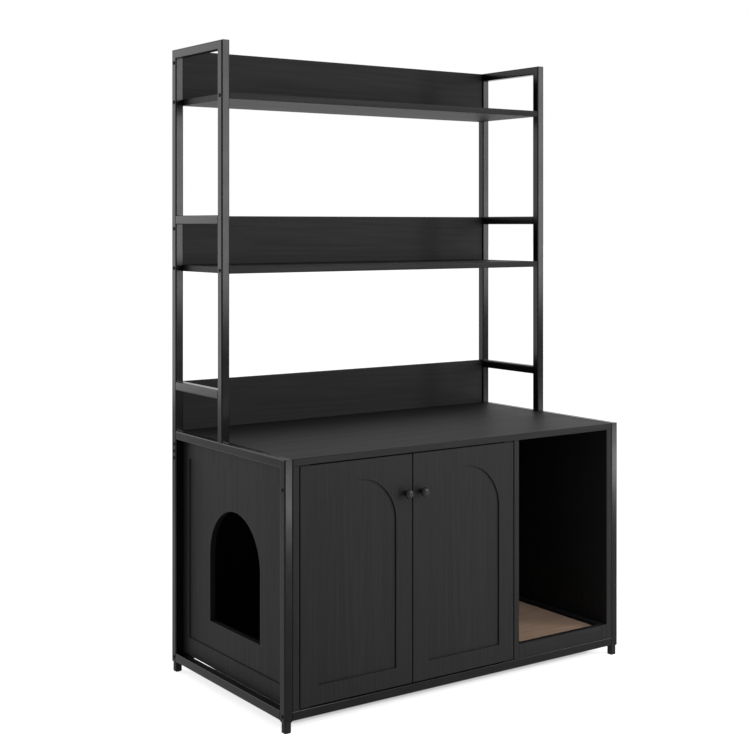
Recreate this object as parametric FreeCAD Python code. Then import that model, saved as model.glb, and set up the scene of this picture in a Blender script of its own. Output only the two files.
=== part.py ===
import FreeCAD, Part
import os

# Cat litter box cabinet: a two-door litter compartment with an arched cat entrance in its left side,
# an open scratching bay on the right and a two-shelf hutch above, all carried by square steel tube.
#
# Units are millimetres. While it is built, X runs from the left face of the frame to the right one,
# Y from the front face of the cabinet to the wall and Z up from the floor. At the end every piece is
# moved so that the origin lies on the floor in the middle of the closed cabinet's footprint.

Vec = FreeCAD.Vector
ALONG_X = Vec(1, 0, 0)
ALONG_Y = Vec(0, 1, 0)
TO_FRONT = Vec(0, -1, 0)
UP = Vec(0, 0, 1)
DOWN = Vec(0, 0, -1)

# ---- Driving dimensions -------------------------------------------------------------------------

overall_width = 1170.0
overall_depth = 630.0
cabinet_height = 698.0       # floor to the top of the lower frame
hutch_depth = 300.0          # front face of the hutch posts to the wall face of the rear posts
shelf_pitch = 480.0          # tabletop to middle shelf, and middle shelf to top shelf
rail_rise = 143.0            # upper face of a board to the top of the ladder rail above it
foot_height = 30.0

# Square steel tube
tube = 25.0
tube_wall = 1.2
tube_corner = 3.5

# Board thicknesses
tabletop_board = 18.0
side_board = 19.0
divider_board = 18.0
shelf_board = 18.0
floor_board = 15.0
door_board = 15.0
splash_board = 15.0
back_panel_board = 5.0
tray_side_board = 22.0
tray_front_board = 18.0
edge_ease = 0.8              # small chamfer along the edges of each board

# Board positions
tabletop_drop = 1.0          # tabletop surface below the top of the side rails
shelf_setback = 2.0          # shelf front behind the face of the hutch posts
splash_height = 142.0
splash_inset = 5.0           # splash boards in front of the posts' wall face
back_panel_inset = 5.0       # cabinet's back panels in front of the same face
bay_width = 345.0            # clear width between the divider and the right side panel
tray_height = 42.0           # tray boards above the bottom rails

# Cat entrance and the sunk field of each side panel
entry_width = 276.0
entry_centre_depth = 310.0   # centre line of the arch behind the front face
entry_sill = 127.0           # sill above the bottom rail
entry_wall_height = 189.0    # straight sides below the round crown
field_margin = 52.0
field_depth = 3.0

# Doors and the arched field sunk into each
door_gap = 3.0
door_back_gap = 2.5          # rear face of a door to the floor panel behind it
arch_side_margin = 53.0
arch_end_margin = 50.0
arch_depth = 4.0

# Door pivots: a plate with a pin, above and below each door
pivot_inset = 6.0            # pin axis from the door's edge and from its front face
pivot_play = 0.3             # plate to the edge of the door
pin_radius = 2.0
pin_length = 10.0
pin_fit = 0.05
plate_length = 34.0
plate_width = 12.5

# Knobs
knob_stem_radius = 5.5
knob_head_radius = 13.0
knob_face_radius = 9.5       # flat middle of the head
knob_projection = 30.0
knob_head_depth = 14.0
knob_back_bevel = 1.5
knob_face_bevel = 4.5        # height of the bevel round the flat middle
knob_from_edge = 25.0
knob_below_top = 103.0

# Double magnetic catch under the tabletop
catch_width = 62.0
catch_depth = 17.0
catch_height = 17.0
catch_gap = 0.3              # magnet face to strike plate
magnet_width = 20.0
magnet_height = 7.0
magnet_depth = 9.0
magnet_spacing = 36.0
magnet_drop = 10.0           # middle of the magnets below the tabletop
magnet_fit = 0.1
strike_width = 24.0
strike_height = 12.0
strike_thickness = 1.2

# Inner sleeves and plugs of the frame
insert_fit = 0.3             # gap between a sleeve or plug and the bore of its tube
insert_corner = 2.0
sleeve_length = 140.0
sleeve_wall = 1.5
plug_length = 28.0

# Feet
foot_side = 20.0
foot_corner = 3.0
foot_sole_chamfer = 2.0
foot_collar = 1.5
foot_collar_inset = 0.4      # collar inside the outline of the post
foot_plug_length = 22.0
foot_plug_wall = 2.4

# Scratching pad
pad_gap = 1.0                # pad to the tray boards around it
pad_board = 15.0
mat_thickness = 5.0
mat_inset = 1.0              # mat inside the outline of its board

# ---- Levels and faces worked out from the dimensions --------------------------------------------

rail_top = foot_height + tube
tabletop_top = cabinet_height - tabletop_drop
tabletop_under = tabletop_top - tabletop_board
middle_shelf_top = tabletop_top + shelf_pitch
top_shelf_top = middle_shelf_top + shelf_pitch
hutch_top = top_shelf_top + rail_rise

frame_left = tube
frame_right = overall_width - tube
rear_post_front = overall_depth - tube
hutch_front = overall_depth - hutch_depth

side_left = frame_left + side_board
side_right = frame_right - side_board
divider_right = side_right - bay_width
divider_left = divider_right - divider_board
doors_centre = (side_left + divider_left) / 2
door_width = (divider_left - side_left - 3 * door_gap) / 2
door_left = side_left + door_gap
door_right = door_left + door_width
door_bottom = rail_top + door_gap
door_top = tabletop_under - door_gap

splash_rear = overall_depth - splash_inset
splash_front = splash_rear - splash_board
back_panel_rear = overall_depth - back_panel_inset
back_panel_front = back_panel_rear - back_panel_board
back_panel_seam = (divider_left + divider_right) / 2

tray_left = divider_right + tray_side_board
tray_right = side_right - tray_side_board
tray_top = rail_top + tray_height
floor_top = rail_top + floor_board
floor_front = door_board + door_back_gap

post_centre = tube / 2
rear_post_centre = rear_post_front + post_centre
tube_bore = tube - 2 * tube_wall
insert_side = tube_bore - 2 * insert_fit
plate_thickness = door_gap - pivot_play
catch_front = door_board + strike_thickness + catch_gap
magnet_level = tabletop_under - magnet_drop

origin = Vec(overall_width / 2, (overall_depth - knob_projection) / 2, 0)


# ---- Basic shapes -------------------------------------------------------------------------------

def rounded_square(side, radius):
    """Closed wire in the XY plane, centred on the origin, with four round corners."""
    reach = side / 2 - radius
    arcs = []
    for turn, (x, y) in enumerate([(1, 1), (-1, 1), (-1, -1), (1, -1)]):
        centre = Vec(x * reach, y * reach, 0)
        arcs.append(Part.makeCircle(radius, centre, UP, 90 * turn, 90 * turn + 90))
    edges = []
    for index, arc in enumerate(arcs):
        following = arcs[(index + 1) % len(arcs)]
        edges.append(arc)
        edges.append(Part.makeLine(arc.lastVertex().Point, following.firstVertex().Point))
    return Part.Wire(edges)


def cut_square(side, corner):
    """Closed wire like rounded_square, with each corner cut off at 45 degrees."""
    half = side / 2
    near = half - corner
    corners = [(1, 1), (-1, 1), (-1, -1), (1, -1)]
    points = []
    for index, (x, y) in enumerate(corners):
        ends = [Vec(x * half, y * near, 0), Vec(x * near, y * half, 0)]
        points.extend(ends if index % 2 == 0 else ends[::-1])
    return Part.makePolygon(points + points[:1])


def prism(wire, bottom, top):
    """Solid between two heights on the outline of a wire in the XY plane."""
    solid = Part.Face(wire).extrude(UP * (top - bottom))
    solid.translate(UP * bottom)
    return solid


def square_tube(start, end):
    """Hollow square tube whose centre line runs from start to end."""
    run = end - start
    hollow = prism(cut_square(tube_bore, tube_corner - tube_wall), 0, run.Length)
    solid = prism(rounded_square(tube, tube_corner), 0, run.Length).cut(hollow)
    solid.Placement = FreeCAD.Placement(start, FreeCAD.Rotation(UP, run))
    return solid


def box(x0, x1, y0, y1, z0, z1):
    return Part.makeBox(x1 - x0, y1 - y0, z1 - z0, Vec(x0, y0, z0))


def board(x0, x1, y0, y1, z0, z1):
    """Panel with its edges eased by a small chamfer."""
    panel = box(x0, x1, y0, y1, z0, z1)
    return panel.makeChamfer(edge_ease, panel.Edges)


def arch(to_point, centre, half_width, base, wall_height):
    """Face with straight sides and a half-round crown; to_point places its (across, up) points."""
    spring = base + wall_height
    left_foot = to_point(centre - half_width, base)
    right_foot = to_point(centre + half_width, base)
    right_spring = to_point(centre + half_width, spring)
    left_spring = to_point(centre - half_width, spring)
    crown = to_point(centre, spring + half_width)
    outline = [
        Part.makeLine(left_foot, right_foot),
        Part.makeLine(right_foot, right_spring),
        Part.Arc(right_spring, crown, left_spring).toShape(),
        Part.makeLine(left_spring, left_foot),
    ]
    return Part.Face(Part.Wire(outline))


def across_frame(shape):
    """Mirror image of a left-hand piece on the right side of the frame."""
    return shape.mirror(Vec(overall_width / 2, 0, 0), ALONG_X)


def across_doors(shape):
    """Mirror image of the left door's piece on the right door."""
    return shape.mirror(Vec(doors_centre, 0, 0), ALONG_X)


# ---- Steel frame --------------------------------------------------------------------------------

def post(front, bottom, top):
    """Upright tube of the left side frame, with its front face at the given depth."""
    depth = front + post_centre
    return square_tube(Vec(post_centre, depth, bottom), Vec(post_centre, depth, top))


def side_rail(front, rear, top):
    """Tube along the left side frame with its upper face at top."""
    level = top - post_centre
    return square_tube(Vec(post_centre, front, level), Vec(post_centre, rear, level))


def cross_rail(depth):
    """Bottom rail between the side frames, with its centre line at the given depth."""
    level = rail_top - post_centre
    return square_tube(Vec(frame_left, depth, level), Vec(frame_right, depth, level))


def mitre(corner_depth, corner_top, inward, of_rail):
    """Waste on one side of the 45 degree cut that starts at the frame's outer top corner.

    The rail's side of the cut is waste for the post, and the other side is waste for the rail.
    inward is 1 where the rail runs to the rear and -1 where it runs to the front.
    """
    reach = 2 * tube
    side = -1 if of_rail else 1
    inner = Vec(-tube, corner_depth + inward * reach, corner_top - reach)
    outer = Vec(-tube, corner_depth - inward * reach, corner_top + reach)
    apex = Vec(-tube, corner_depth + side * inward * reach, corner_top + side * reach)
    return Part.Face(Part.makePolygon([inner, outer, apex, inner])).extrude(ALONG_X * 3 * tube)


def lower_front_post():
    solid = post(0, foot_height, cabinet_height)
    return solid.cut(mitre(0, cabinet_height, 1, False))


def lower_top_rail():
    """Rail that is mitred to the front post and butts on the rear one."""
    solid = side_rail(0, rear_post_front, cabinet_height)
    return solid.cut(mitre(0, cabinet_height, 1, True))


def hutch_front_post():
    solid = post(hutch_front, cabinet_height, hutch_top)
    return solid.cut(mitre(hutch_front, hutch_top, 1, False))


def hutch_rear_post():
    solid = post(rear_post_front, cabinet_height, hutch_top)
    return solid.cut(mitre(overall_depth, hutch_top, -1, False))


def hutch_top_rail():
    solid = side_rail(hutch_front, overall_depth, hutch_top)
    solid = solid.cut(mitre(hutch_front, hutch_top, 1, True))
    return solid.cut(mitre(overall_depth, hutch_top, -1, True))


def hutch_rail(board_top):
    """Ladder rail between the hutch posts, at the height of a splash board's top edge."""
    return side_rail(hutch_front + tube, rear_post_front, board_top + rail_rise)


def left_side_frame():
    """Tubes of the left side by name; the right side has their mirror images."""
    return {
        "front_post": lower_front_post(),
        "rear_post": post(rear_post_front, foot_height, cabinet_height),
        "top_rail": lower_top_rail(),
        "bottom_rail": side_rail(tube, rear_post_front, rail_top),
        "hutch_front_post": hutch_front_post(),
        "hutch_rear_post": hutch_rear_post(),
        "hutch_top_rail": hutch_top_rail(),
        "hutch_middle_rail": hutch_rail(middle_shelf_top),
        "hutch_low_rail": hutch_rail(tabletop_top),
    }


def rail_end_plugs():
    """Plugs in both ends of the front and rear bottom rails, where they are bolted to the posts."""
    plugs = []
    for depth in (post_centre, rear_post_centre):
        plug = prism(cut_square(insert_side, insert_corner), 0, plug_length)
        start = Vec(frame_left, depth, rail_top - post_centre)
        plug.Placement = FreeCAD.Placement(start, FreeCAD.Rotation(UP, ALONG_X))
        plugs.extend([plug, across_frame(plug)])
    return plugs


def post_sleeves():
    """Inner sleeves that join the rear posts of the cabinet to those of the hutch."""
    low = cabinet_height - sleeve_length / 2
    high = cabinet_height + sleeve_length / 2
    bore = cut_square(insert_side - 2 * sleeve_wall, insert_corner)
    sleeve = prism(cut_square(insert_side, insert_corner), low, high).cut(prism(bore, low, high))
    sleeve.translate(Vec(post_centre, rear_post_centre, 0))
    return [sleeve, across_frame(sleeve)]


def hutch_post_plugs():
    """Plugs in the lower ends of the hutch's front posts, which stand on the side rails."""
    outline = cut_square(insert_side, insert_corner)
    plug = prism(outline, cabinet_height, cabinet_height + plug_length)
    plug.translate(Vec(post_centre, hutch_front + post_centre, 0))
    return [plug, across_frame(plug)]


def foot(x, y):
    """Foot with a chamfered peg, a collar under the post and a hollow plug inside it."""
    collar_bottom = foot_height - foot_collar
    plug_top = foot_height + foot_plug_length
    peg = prism(cut_square(foot_side, foot_corner), 0, collar_bottom)
    sole = [edge for edge in peg.Edges if edge.BoundBox.ZMax < foot_sole_chamfer]
    peg = peg.makeChamfer(foot_sole_chamfer, sole)
    collar_side = tube - 2 * foot_collar_inset
    collar = prism(cut_square(collar_side, foot_corner), collar_bottom, foot_height)
    plug = prism(cut_square(insert_side, insert_corner), foot_height, plug_top)
    hollow_side = insert_side - 2 * foot_plug_wall
    hollow = prism(cut_square(hollow_side, insert_corner), foot_height, plug_top)
    solid = peg.fuse([collar, plug.cut(hollow)]).removeSplitter()
    solid.translate(Vec(x, y, 0))
    return solid


# ---- Panels -------------------------------------------------------------------------------------

def side_panel():
    """Left-hand side panel with a shallow sunk field in its outer face."""
    field = box(
        frame_left,
        frame_left + field_depth,
        field_margin,
        back_panel_front - field_margin,
        rail_top + field_margin,
        cabinet_height - tube - field_margin,
    )
    return board(frame_left, side_left, 0, back_panel_front, rail_top, tabletop_under).cut(field)


def entry_panel():
    """Left side panel with the arched cat entrance through its sunk field."""
    opening = arch(
        lambda across, up: Vec(frame_left, across, up),
        entry_centre_depth,
        entry_width / 2,
        rail_top + entry_sill,
        entry_wall_height,
    )
    return side_panel().cut(opening.extrude(ALONG_X * side_board))


def divider_panel():
    return board(divider_left, divider_right, 0, back_panel_front, rail_top, tabletop_under)


def tabletop():
    return board(frame_left, frame_right, 0, overall_depth, tabletop_under, tabletop_top)


def back_panel(left, right):
    return board(left, right, back_panel_front, back_panel_rear, rail_top, tabletop_under)


def litter_floor():
    return board(side_left, divider_left, floor_front, back_panel_front, rail_top, floor_top)


def bay_floor():
    return board(tray_left, tray_right, tray_front_board, back_panel_front, rail_top, floor_top)


def tray_side(left, right):
    return board(left, right, 0, back_panel_front, rail_top, tray_top)


def tray_front():
    return board(tray_left, tray_right, 0, tray_front_board, rail_top, tray_top)


def pad_layer(inset, bottom, top):
    """Layer of the scratching pad, drawn in from the tray boards around it."""
    return board(
        tray_left + inset,
        tray_right - inset,
        tray_front_board + inset,
        back_panel_front - inset,
        bottom,
        top,
    )


def shelf(top):
    front = hutch_front + shelf_setback
    return board(frame_left, frame_right, front, splash_rear, top - shelf_board, top)


def splash(bottom):
    """Low rear board that stands on the tabletop or on a shelf."""
    top = bottom + splash_height
    return board(frame_left, frame_right, splash_front, splash_rear, bottom, top)


# ---- Doors --------------------------------------------------------------------------------------

def door():
    """Left door with its arched sunk field and the bores for its pivot pins."""
    panel = board(door_left, door_right, 0, door_board, door_bottom, door_top)
    half_width = door_width / 2 - arch_side_margin
    field = arch(
        lambda across, up: Vec(across, 0, up),
        door_left + door_width / 2,
        half_width,
        door_bottom + arch_end_margin,
        door_top - door_bottom - 2 * arch_end_margin - half_width,
    )
    panel = panel.cut(field.extrude(ALONG_Y * arch_depth))
    for edge, inward in ((door_bottom, UP), (door_top, DOWN)):
        start = Vec(door_left + pivot_inset, pivot_inset, edge)
        bore_depth = pin_length + pivot_play
        panel = panel.cut(Part.makeCylinder(pin_radius + pin_fit, bore_depth, start, inward))
    return panel


def pivot(base, facing):
    """Plate and pin of the left door's pivot, fixed to the surface at height base."""
    plate_end = base + facing.z * plate_thickness
    front = pivot_inset - pin_radius - pivot_play
    plate = box(
        side_left,
        side_left + plate_length,
        front,
        front + plate_width,
        min(base, plate_end),
        max(base, plate_end),
    )
    start = Vec(door_left + pivot_inset, pivot_inset, base)
    return plate.fuse(Part.makeCylinder(pin_radius, plate_thickness + pin_length, start, facing))


def knob():
    """Round knob of the left door, turned from a slim stem and a head with bevelled rims."""
    head_back = knob_projection - knob_head_depth
    profile = [
        (0, 0),
        (knob_stem_radius, 0),
        (knob_stem_radius, head_back),
        (knob_head_radius - knob_back_bevel, head_back),
        (knob_head_radius, head_back + knob_back_bevel),
        (knob_head_radius, knob_projection - knob_face_bevel),
        (knob_face_radius, knob_projection),
        (0, knob_projection),
    ]
    outline = [Vec(radius, 0, height) for radius, height in profile]
    solid = Part.Face(Part.makePolygon(outline + outline[:1])).revolve(Vec(0, 0, 0), UP, 360)
    spot = Vec(door_right - knob_from_edge, 0, door_top - knob_below_top)
    solid.Placement = FreeCAD.Placement(spot, FreeCAD.Rotation(UP, TO_FRONT))
    return solid


def magnets(fit):
    """The left and right magnets of the catch, or with a fit the pockets that hold them."""
    solids = []
    for side in (-1, 1):
        centre = doors_centre + side * magnet_spacing / 2
        solids.append(box(
            centre - magnet_width / 2 - fit,
            centre + magnet_width / 2 + fit,
            catch_front,
            catch_front + magnet_depth + fit,
            magnet_level - magnet_height / 2 - fit,
            magnet_level + magnet_height / 2 + fit,
        ))
    return solids


def catch_housing():
    """Block under the tabletop with a pocket for each magnet."""
    block = board(
        doors_centre - catch_width / 2,
        doors_centre + catch_width / 2,
        catch_front,
        catch_front + catch_depth,
        tabletop_under - catch_height,
        tabletop_under,
    )
    return block.cut(magnets(magnet_fit))


def strike_plate():
    """Steel plate on the rear of the left door, opposite the left magnet."""
    centre = doors_centre - magnet_spacing / 2
    return box(
        centre - strike_width / 2,
        centre + strike_width / 2,
        door_board,
        door_board + strike_thickness,
        magnet_level - strike_height / 2,
        magnet_level + strike_height / 2,
    )


# ---- All pieces ---------------------------------------------------------------------------------

def frame_parts():
    """Tubes, inserts and feet of the steel frame."""
    parts = {
        "front_bottom_rail": [cross_rail(post_centre)],
        "rear_bottom_rail": [cross_rail(rear_post_centre)],
        "rail_end_plugs": rail_end_plugs(),
        "post_sleeves": post_sleeves(),
        "hutch_post_plugs": hutch_post_plugs(),
    }
    for name, solid in left_side_frame().items():
        parts["left_" + name] = [solid]
        parts["right_" + name] = [across_frame(solid)]
    for name, depth in (("front", post_centre), ("rear", rear_post_centre)):
        solid = foot(post_centre, depth)
        parts["left_" + name + "_foot"] = [solid]
        parts["right_" + name + "_foot"] = [across_frame(solid)]
    return parts


def panel_parts():
    """Boards of the cabinet, the scratching bay and the hutch."""
    mat_bottom = floor_top + pad_board
    mat_gap = pad_gap + mat_inset
    return {
        "tabletop": [tabletop()],
        "left_side_panel": [entry_panel()],
        "right_side_panel": [across_frame(side_panel())],
        "divider_panel": [divider_panel()],
        "left_back_panel": [back_panel(frame_left, back_panel_seam)],
        "right_back_panel": [back_panel(back_panel_seam, frame_right)],
        "litter_floor_panel": [litter_floor()],
        "bay_floor_panel": [bay_floor()],
        "tray_left_board": [tray_side(divider_right, tray_left)],
        "tray_right_board": [tray_side(tray_right, side_right)],
        "tray_front_board": [tray_front()],
        "scratching_pad_board": [pad_layer(pad_gap, floor_top, mat_bottom)],
        "scratching_mat": [pad_layer(mat_gap, mat_bottom, mat_bottom + mat_thickness)],
        "middle_shelf": [shelf(middle_shelf_top)],
        "top_shelf": [shelf(top_shelf_top)],
        "lower_splash_board": [splash(tabletop_top)],
        "middle_splash_board": [splash(middle_shelf_top)],
        "top_splash_board": [splash(top_shelf_top)],
    }


def door_parts():
    """Doors with their knobs, pivots and catch; each left-hand piece has its mirror image."""
    left_hand = {
        "door": door(),
        "knob": knob(),
        "strike_plate": strike_plate(),
        "lower_pivot": pivot(rail_top, UP),
        "upper_pivot": pivot(tabletop_under, DOWN),
    }
    parts = {
        "catch_housing": [catch_housing()],
        "catch_magnets": magnets(0),
    }
    for name, solid in left_hand.items():
        parts["left_" + name] = [solid]
        parts["right_" + name] = [across_doors(solid)]
    return parts


os.makedirs("parts", exist_ok=True)
for group in (frame_parts(), panel_parts(), door_parts()):
    for node, solids in group.items():
        shape = solids[0] if len(solids) == 1 else Part.makeCompound(solids)
        shape = shape.translated(origin * -1)
        shape.exportStep(os.path.join("parts", node + ".step"))
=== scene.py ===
"""Looks of the cat litter box cabinet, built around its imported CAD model.

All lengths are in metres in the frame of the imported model: X runs to the right, Y towards the wall and Z up,
and the origin lies on the floor in the middle of the closed cabinet's footprint. A length in millimetres is
written as a number times MM.
"""

from __future__ import annotations

import logging
import math
from collections.abc import Callable, Iterable, Sequence
from dataclasses import dataclass
from enum import Enum

import bmesh
import bpy
from mathutils import Matrix, Vector, noise

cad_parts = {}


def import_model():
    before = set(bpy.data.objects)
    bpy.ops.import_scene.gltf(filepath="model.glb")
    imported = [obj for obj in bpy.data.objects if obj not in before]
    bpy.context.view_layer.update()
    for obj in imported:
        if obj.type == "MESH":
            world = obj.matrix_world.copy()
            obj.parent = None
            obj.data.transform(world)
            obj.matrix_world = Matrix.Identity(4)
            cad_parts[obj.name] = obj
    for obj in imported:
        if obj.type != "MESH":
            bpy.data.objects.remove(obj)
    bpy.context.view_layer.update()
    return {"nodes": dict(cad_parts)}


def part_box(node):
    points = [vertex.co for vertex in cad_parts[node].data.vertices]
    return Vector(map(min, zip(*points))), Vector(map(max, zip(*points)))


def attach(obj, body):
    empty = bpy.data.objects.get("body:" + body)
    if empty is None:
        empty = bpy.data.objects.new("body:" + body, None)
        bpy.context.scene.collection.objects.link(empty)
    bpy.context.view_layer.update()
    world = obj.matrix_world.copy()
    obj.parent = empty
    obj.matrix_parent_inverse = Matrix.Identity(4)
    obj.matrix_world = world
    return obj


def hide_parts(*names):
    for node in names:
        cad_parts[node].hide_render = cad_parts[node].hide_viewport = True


MM = 0.001
# Watts that give a square metre of an area lamp a radiance of 1.
LAMP_WATTS = 4
LOG = logging.getLogger("litter_cabinet")

Colour = tuple[float, float, float]
Point = tuple[float, float, float]


class Body(Enum):
    """Moving groups of the cabinet that a piece can ride on."""

    CABINET = "cabinet"
    LEFT_DOOR = "left_door"
    RIGHT_DOOR = "right_door"


class Slot(Enum):
    """Finish slots of the part."""

    FRAME_STEEL = "frame_steel"
    KNOB_METAL = "knob_metal"
    PLATED_STEEL = "plated_steel"
    MAT_FABRIC = "mat_fabric"


class Grain(Enum):
    """Direction in which the wood figure of a board runs."""

    ACROSS = "X"
    INWARD = "Y"
    UPRIGHT = "Z"

    def stretch(self, along: float, beside: float) -> Point:
        """Size of a figure that is long along the grain and narrow beside it."""
        return tuple(along if axis == self.value else beside for axis in "XYZ")


class Drive(Enum):
    """Shape of the recess that a tool turns a screw by."""

    HEX_SOCKET = "hex_socket"
    CROSS = "cross"


# ---- Node sheets --------------------------------------------------------------------------------


class NodeSheet:
    """Emptied node tree with short ways to add and join nodes."""

    def __init__(self, tree: bpy.types.NodeTree) -> None:
        """Empties the tree and keeps it."""
        self.tree = tree
        self.tree.nodes.clear()

    def add(self, kind: str, **settings: object) -> bpy.types.Node:
        """Adds a node.

        Args:
            kind: Blender's name for the type of node.
            **settings: properties to set on the node.

        Returns:
            The new node.
        """
        node = self.tree.nodes.new(kind)
        for key, value in settings.items():
            setattr(node, key, value)
        return node

    def join(self, source: bpy.types.NodeSocket, target: bpy.types.NodeSocket) -> None:
        """Links one socket to another."""
        self.tree.links.new(source, target)

    def spread(
        self, value: bpy.types.NodeSocket, low: float, high: float, start: float = 0.0, end: float = 1.0
    ) -> bpy.types.NodeSocket:
        """Maps one range of a value onto another one and clamps it.

        Args:
            value: socket to map.
            low: result at the start of the range.
            high: result at its end.
            start: start of the range.
            end: end of the range.

        Returns:
            The value socket.
        """
        node = self.add("ShaderNodeMapRange")
        node.inputs["From Min"].default_value = start
        node.inputs["From Max"].default_value = end
        node.inputs["To Min"].default_value = low
        node.inputs["To Max"].default_value = high
        self.join(value, node.inputs["Value"])
        return node.outputs["Result"]

    def combine(
        self, operation: str, first: bpy.types.NodeSocket, second: bpy.types.NodeSocket | float
    ) -> bpy.types.NodeSocket:
        """Joins two values with a Math node.

        Args:
            operation: Blender's name for the operation.
            first: first value.
            second: second value, as a socket or as a number.

        Returns:
            The value socket.
        """
        node = self.add("ShaderNodeMath", operation=operation)
        self.join(first, node.inputs[0])
        if isinstance(second, bpy.types.NodeSocket):
            self.join(second, node.inputs[1])
        else:
            node.inputs[1].default_value = second
        return node.outputs["Value"]

    def mix(
        self, share: bpy.types.NodeSocket, first: bpy.types.NodeSocket, second: bpy.types.NodeSocket
    ) -> bpy.types.NodeSocket:
        """Blends two shaders.

        Args:
            share: share of the second shader, from 0 to 1.
            first: first shader.
            second: second shader.

        Returns:
            The shader socket.
        """
        node = self.add("ShaderNodeMixShader")
        for source, target in zip((share, first, second), node.inputs):
            self.join(source, target)
        return node.outputs["Shader"]


class FinishSheet(NodeSheet):
    """Node sheet of one finish, round a Principled shader."""

    # Places of the colours among the sockets of a Mix node.
    COLOUR_INPUTS = (6, 7)
    COLOUR_OUTPUT = 2

    def __init__(self, name: str) -> None:
        """Starts a sheet that holds a Principled shader and its output.

        Args:
            name: name of the material.
        """
        self.material = bpy.data.materials.new(name)
        self.material.use_nodes = True
        super().__init__(self.material.node_tree)
        self.shader = self.add("ShaderNodeBsdfPrincipled")
        output = self.add("ShaderNodeOutputMaterial")
        self.join(self.shader.outputs["BSDF"], output.inputs["Surface"])

    def fix(self, **values: object) -> None:
        """Sets constant values on the shader's own sockets, with underscores for spaces."""
        for key, value in values.items():
            self.shader.inputs[key.replace("_", " ")].default_value = value

    def place(self, size: Point, centre: Point = (0, 0, 0), tilt: Point = (0, 0, 0)) -> bpy.types.NodeSocket:
        """Position on the piece, counted in units of a given size.

        Args:
            size: length of one unit along each axis.
            centre: point of the row frame that becomes the zero point.
            tilt: turn of the axes in degrees.

        Returns:
            The vector socket.
        """
        coordinates = self.add("ShaderNodeTexCoord")
        mapping = self.add("ShaderNodeMapping", vector_type="TEXTURE")
        mapping.inputs["Location"].default_value = centre
        mapping.inputs["Rotation"].default_value = [math.radians(angle) for angle in tilt]
        mapping.inputs["Scale"].default_value = size
        self.join(coordinates.outputs["Object"], mapping.inputs["Vector"])
        return mapping.outputs["Vector"]

    def noise(
        self, place: bpy.types.NodeSocket, detail: float = 3.0, rough: float = 0.55, warp: float = 0.0
    ) -> bpy.types.NodeSocket:
        """Smooth random pattern from 0 to 1.

        Args:
            place: where to read it.
            detail: number of finer layers.
            rough: weight of the finer layers.
            warp: how much the pattern is bent by itself.

        Returns:
            The value socket.
        """
        node = self.add("ShaderNodeTexNoise")
        node.inputs["Scale"].default_value = 1.0
        node.inputs["Detail"].default_value = detail
        node.inputs["Roughness"].default_value = rough
        node.inputs["Distortion"].default_value = warp
        self.join(place, node.inputs["Vector"])
        return node.outputs["Fac"]

    def clouds(self, size: float, detail: float, centre: Point = (0, 0, 0)) -> bpy.types.NodeSocket:
        """Smooth random pattern from 0 to 1, of the same size in all directions."""
        return self.noise(self.place((size,) * 3, centre), detail)

    def tint(
        self, share: bpy.types.NodeSocket, under: bpy.types.NodeSocket | Colour, over: Colour
    ) -> bpy.types.NodeSocket:
        """Mixes a second colour over a first one.

        Args:
            share: share of the second colour, from 0 to 1.
            under: first colour, as a socket or as numbers.
            over: second colour.

        Returns:
            The colour socket.
        """
        node = self.add("ShaderNodeMix", data_type="RGBA")
        first, second = (node.inputs[place] for place in self.COLOUR_INPUTS)
        self.join(share, node.inputs["Factor"])
        if isinstance(under, bpy.types.NodeSocket):
            self.join(under, first)
        else:
            first.default_value = (*under, 1.0)
        second.default_value = (*over, 1.0)
        return node.outputs[self.COLOUR_OUTPUT]

    def edges(self, reach: float) -> bpy.types.NodeSocket:
        """Mask that is 1 on the convex edges and corners of a piece and 0 on its faces.

        Args:
            reach: width of the band along an edge.

        Returns:
            The value socket.
        """
        bevel = self.add("ShaderNodeBevel", samples=4)
        bevel.inputs["Radius"].default_value = reach
        geometry = self.add("ShaderNodeNewGeometry")
        turn = self.add("ShaderNodeVectorMath", operation="DOT_PRODUCT")
        self.join(bevel.outputs["Normal"], turn.inputs[0])
        self.join(geometry.outputs["Normal"], turn.inputs[1])
        return self.spread(turn.outputs["Value"], 1.0, 0.0, 0.75, 0.98)

    def relief(self, height: bpy.types.NodeSocket, depth: float) -> None:
        """Gives the shader a bump.

        Args:
            height: height of the surface, from 0 to 1.
            depth: distance between the lowest and the highest point.
        """
        bump = self.add("ShaderNodeBump")
        bump.inputs["Strength"].default_value = 1.0
        bump.inputs["Distance"].default_value = depth
        self.join(height, bump.inputs["Height"])
        self.join(bump.outputs["Normal"], self.shader.inputs["Normal"])

    def colour(self, socket: bpy.types.NodeSocket) -> None:
        """Links the shader's base colour."""
        self.join(socket, self.shader.inputs["Base Color"])

    def roughness(self, socket: bpy.types.NodeSocket) -> None:
        """Links the shader's roughness."""
        self.join(socket, self.shader.inputs["Roughness"])


# ---- Finishes -----------------------------------------------------------------------------------


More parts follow.
